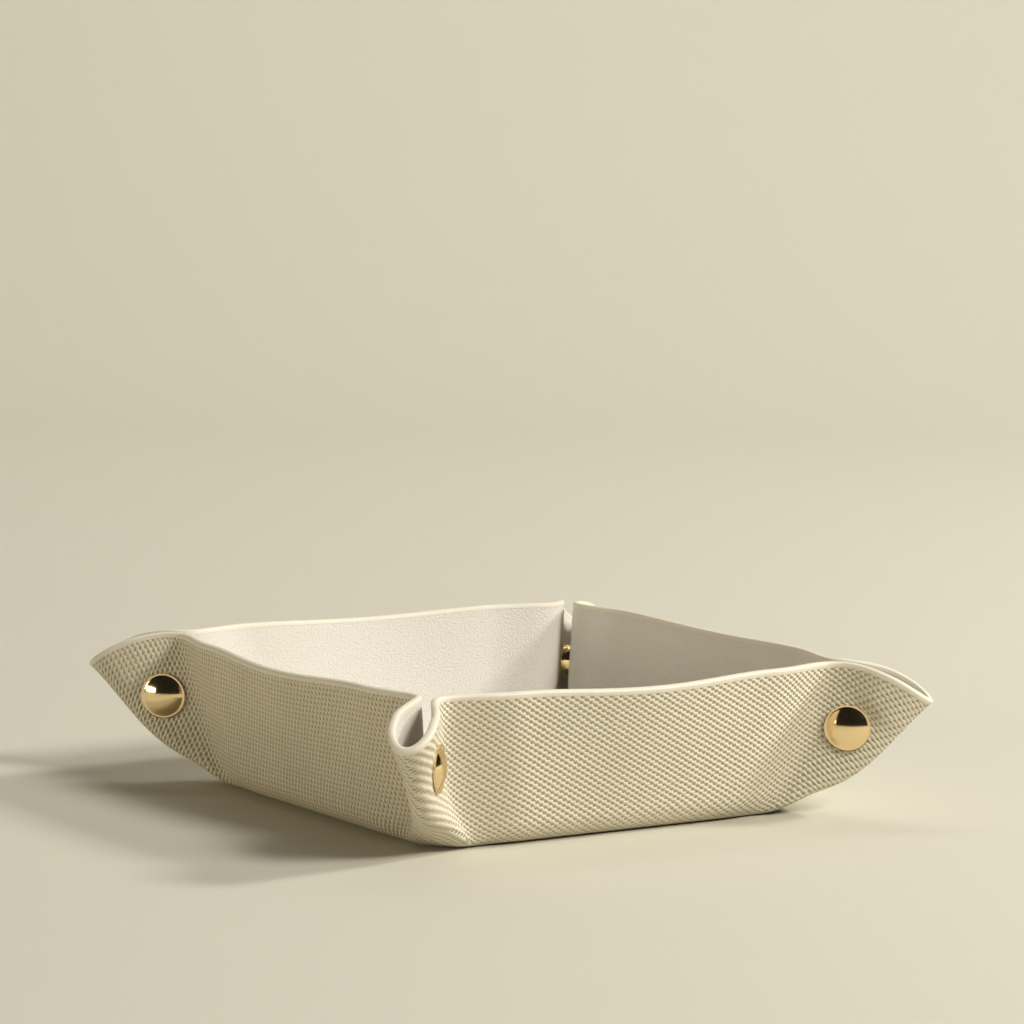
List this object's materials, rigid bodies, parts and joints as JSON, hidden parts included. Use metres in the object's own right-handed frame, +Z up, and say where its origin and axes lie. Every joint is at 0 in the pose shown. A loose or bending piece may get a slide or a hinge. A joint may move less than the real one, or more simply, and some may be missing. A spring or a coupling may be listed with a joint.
{
  "type": "snap-corner valet tray",
  "caption": "Soft leather catch-all tray folded from one square sheet, its corners pinched into ears by gold press studs, so that it snaps open to lie flat.",
  "frame": {"origin": "centre of the underside of the base, on the table", "axes": "+Z up; +X to the right wall, +Y to the back wall"},
  "size_m": [0.1638, 0.1638, 0.0404],
  "materials": {
    "woven_cover": "cream leather embossed with a fine ballistic weave",
    "smooth_lining": "smooth off-white leather, fine grain",
    "gold_caps": "polished gold-plated brass",
    "gold_studs": "polished gold-plated brass"
  },
  "bodies": {
    "base": {"cover_base": "woven_cover", "lining_base": "smooth_lining", "cover_front_bend": "woven_cover", "lining_front_bend": "smooth_lining", "cover_right_bend": "woven_cover", "lining_right_bend": "smooth_lining", "cover_back_bend": "woven_cover", "lining_back_bend": "smooth_lining", "cover_left_bend": "woven_cover", "lining_left_bend": "smooth_lining"},
    "front_wall": {"cover_front_wall": "woven_cover", "lining_front_wall": "smooth_lining"},
    "right_wall": {"cover_right_wall": "woven_cover", "lining_right_wall": "smooth_lining"},
    "back_wall": {"cover_back_wall": "woven_cover", "lining_back_wall": "smooth_lining"},
    "left_wall": {"cover_left_wall": "woven_cover", "lining_left_wall": "smooth_lining"},
    "front_right_ear_left_half": {"cover_front_right_ear_left_half": "woven_cover", "lining_front_right_ear_left_half": "smooth_lining", "cap_front_right_left_half": "gold_caps", "socket_front_right": "gold_studs"},
    "front_right_ear_right_half": {"cover_front_right_ear_right_half": "woven_cover", "lining_front_right_ear_right_half": "smooth_lining", "cap_front_right_right_half": "gold_caps", "stud_front_right": "gold_studs"},
    "back_right_ear_left_half": {"cover_back_right_ear_left_half": "woven_cover", "lining_back_right_ear_left_half": "smooth_lining", "cap_back_right_left_half": "gold_caps", "socket_back_right": "gold_studs"},
    "back_right_ear_right_half": {"cover_back_right_ear_right_half": "woven_cover", "lining_back_right_ear_right_half": "smooth_lining", "cap_back_right_right_half": "gold_caps", "stud_back_right": "gold_studs"},
    "back_left_ear_left_half": {"cover_back_left_ear_left_half": "woven_cover", "lining_back_left_ear_left_half": "smooth_lining", "cap_back_left_left_half": "gold_caps", "socket_back_left": "gold_studs"},
    "back_left_ear_right_half": {"cover_back_left_ear_right_half": "woven_cover", "lining_back_left_ear_right_half": "smooth_lining", "cap_back_left_right_half": "gold_caps", "stud_back_left": "gold_studs"},
    "front_left_ear_left_half": {"cover_front_left_ear_left_half": "woven_cover", "lining_front_left_ear_left_half": "smooth_lining", "cap_front_left_left_half": "gold_caps", "socket_front_left": "gold_studs"},
    "front_left_ear_right_half": {"cover_front_left_ear_right_half": "woven_cover", "lining_front_left_ear_right_half": "smooth_lining", "cap_front_left_right_half": "gold_caps", "stud_front_left": "gold_studs"}
  },
  "joints": [
    {"name": "front_wall_fold", "type": "hinge", "parent": "base", "child": "front_wall", "pos_m": [0, -0.058, 0.0009], "axis": [1, 0, 0], "range_deg": [0, 73], "deforming": ["cover_front_bend", "lining_front_bend"]},
    {"name": "right_wall_fold", "type": "hinge", "parent": "base", "child": "right_wall", "pos_m": [0.058, 0, 0.0009], "axis": [0, 1, 0], "range_deg": [0, 73], "deforming": ["cover_right_bend", "lining_right_bend"]},
    {"name": "back_wall_fold", "type": "hinge", "parent": "base", "child": "back_wall", "pos_m": [0, 0.058, 0.0009], "axis": [-1, 0, 0], "range_deg": [0, 73], "deforming": ["cover_back_bend", "lining_back_bend"]},
    {"name": "left_wall_fold", "type": "hinge", "parent": "base", "child": "left_wall", "pos_m": [-0.058, 0, 0.0009], "axis": [0, -1, 0], "range_deg": [0, 73], "deforming": ["cover_left_bend", "lining_left_bend"]},
    {"name": "front_right_ear_left_half_fold", "type": "hinge", "parent": "right_wall", "child": "front_right_ear_left_half", "pos_m": [0.04766, -0.04791, -0.0231], "axis": [-0.2516, 0.2057, -0.9457], "range_deg": [0, 44.07]},
    {"name": "front_right_ear_right_half_fold", "type": "hinge", "parent": "front_wall", "child": "front_right_ear_right_half", "pos_m": [0.04791, -0.04766, -0.0231], "axis": [0.2057, -0.2516, 0.9457], "range_deg": [0, 44.07]},
    {"name": "back_right_ear_left_half_fold", "type": "hinge", "parent": "back_wall", "child": "back_right_ear_left_half", "pos_m": [0.04791, 0.04766, -0.0231], "axis": [-0.2057, -0.2516, -0.9457], "range_deg": [0, 44.07]},
    {"name": "back_right_ear_right_half_fold", "type": "hinge", "parent": "right_wall", "child": "back_right_ear_right_half", "pos_m": [0.04766, 0.04791, -0.0231], "axis": [0.2516, 0.2057, 0.9457], "range_deg": [0, 44.07]},
    {"name": "back_left_ear_left_half_fold", "type": "hinge", "parent": "left_wall", "child": "back_left_ear_left_half", "pos_m": [-0.04766, 0.04791, -0.0231], "axis": [0.2516, -0.2057, -0.9457], "range_deg": [0, 44.07]},
    {"name": "back_left_ear_right_half_fold", "type": "hinge", "parent": "back_wall", "child": "back_left_ear_right_half", "pos_m": [-0.04791, 0.04766, -0.0231], "axis": [-0.2057, 0.2516, 0.9457], "range_deg": [0, 44.07]},
    {"name": "front_left_ear_left_half_fold", "type": "hinge", "parent": "front_wall", "child": "front_left_ear_left_half", "pos_m": [-0.04791, -0.04766, -0.0231], "axis": [0.2057, 0.2516, -0.9457], "range_deg": [0, 44.07]},
    {"name": "front_left_ear_right_half_fold", "type": "hinge", "parent": "left_wall", "child": "front_left_ear_right_half", "pos_m": [-0.04766, -0.04791, -0.0231], "axis": [-0.2516, -0.2057, 0.9457], "range_deg": [0, 44.07]}
  ],
  "couplings": [
    {"joint": "right_wall_fold", "follows": "front_wall_fold", "ratio": 1},
    {"joint": "back_wall_fold", "follows": "front_wall_fold", "ratio": 1},
    {"joint": "left_wall_fold", "follows": "front_wall_fold", "ratio": 1},
    {"joint": "front_right_ear_left_half_fold", "follows": "front_wall_fold", "ratio": 0.60359},
    {"joint": "front_right_ear_right_half_fold", "follows": "front_wall_fold", "ratio": 0.60359},
    {"joint": "back_right_ear_left_half_fold", "follows": "front_wall_fold", "ratio": 0.60359},
    {"joint": "back_right_ear_right_half_fold", "follows": "front_wall_fold", "ratio": 0.60359},
    {"joint": "back_left_ear_left_half_fold", "follows": "front_wall_fold", "ratio": 0.60359},
    {"joint": "back_left_ear_right_half_fold", "follows": "front_wall_fold", "ratio": 0.60359},
    {"joint": "front_left_ear_left_half_fold", "follows": "front_wall_fold", "ratio": 0.60359},
    {"joint": "front_left_ear_right_half_fold", "follows": "front_wall_fold", "ratio": 0.60359}
  ]
}
